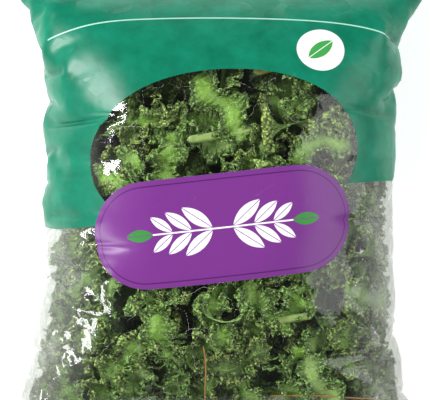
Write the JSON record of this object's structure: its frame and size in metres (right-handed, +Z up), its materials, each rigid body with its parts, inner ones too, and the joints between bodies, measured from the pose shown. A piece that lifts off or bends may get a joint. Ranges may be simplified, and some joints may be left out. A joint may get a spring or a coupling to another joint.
{
  "type": "bag of chopped kale",
  "caption": "Pillow pack of clear printed film, welded across both ends, lying on its back and filled with loose chopped curly kale leaves and a few cut stems.",
  "frame": {"origin": "centre of the bounding box in X and Y, on the surface the bag lies on", "axes": "+X across the bag to the right as it is read, +Y along the bag to its top seal, +Z up out of the printed front"},
  "size_m": [0.25, 0.288, 0.08],
  "materials": {
    "film": "thin printed film, clear where it isn't printed",
    "kale_leaf": "waxy matte leaf",
    "kale_stem": "pale cut stem"
  },
  "bodies": {
    "root": {"bag_film": "film", "kale_leaf_01": "kale_leaf", "kale_leaf_02": "kale_leaf", "kale_leaf_03": "kale_leaf", "kale_leaf_04": "kale_leaf", "kale_leaf_05": "kale_leaf", "kale_leaf_06": "kale_leaf", "kale_leaf_07": "kale_leaf", "kale_leaf_08": "kale_leaf", "kale_leaf_09": "kale_leaf", "kale_leaf_10": "kale_leaf", "kale_leaf_11": "kale_leaf", "kale_leaf_12": "kale_leaf", "kale_leaf_13": "kale_leaf", "kale_leaf_14": "kale_leaf", "kale_leaf_15": "kale_leaf", "kale_leaf_16": "kale_leaf", "kale_leaf_17": "kale_leaf", "kale_leaf_18": "kale_leaf", "kale_leaf_19": "kale_leaf", "kale_leaf_20": "kale_leaf", "kale_leaf_21": "kale_leaf", "kale_leaf_22": "kale_leaf", "kale_leaf_23": "kale_leaf", "kale_leaf_24": "kale_leaf", "kale_leaf_25": "kale_leaf", "kale_leaf_26": "kale_leaf", "kale_leaf_27": "kale_leaf", "kale_leaf_28": "kale_leaf", "kale_leaf_29": "kale_leaf", "kale_leaf_30": "kale_leaf", "kale_leaf_31": "kale_leaf", "kale_leaf_32": "kale_leaf", "kale_leaf_33": "kale_leaf", "kale_leaf_34": "kale_leaf", "kale_leaf_35": "kale_leaf", "kale_leaf_36": "kale_leaf", "kale_leaf_37": "kale_leaf", "kale_leaf_38": "kale_leaf", "kale_leaf_39": "kale_leaf", "kale_leaf_40": "kale_leaf", "kale_leaf_41": "kale_leaf", "kale_leaf_42": "kale_leaf", "kale_leaf_43": "kale_leaf", "kale_leaf_44": "kale_leaf", "kale_leaf_45": "kale_leaf", "kale_leaf_46": "kale_leaf", "kale_leaf_47": "kale_leaf", "kale_leaf_48": "kale_leaf", "kale_leaf_49": "kale_leaf", "kale_leaf_50": "kale_leaf", "kale_leaf_51": "kale_leaf", "kale_stem_01": "kale_stem", "kale_stem_02": "kale_stem", "kale_stem_03": "kale_stem", "kale_stem_04": "kale_stem"}
  },
  "joints": []
}
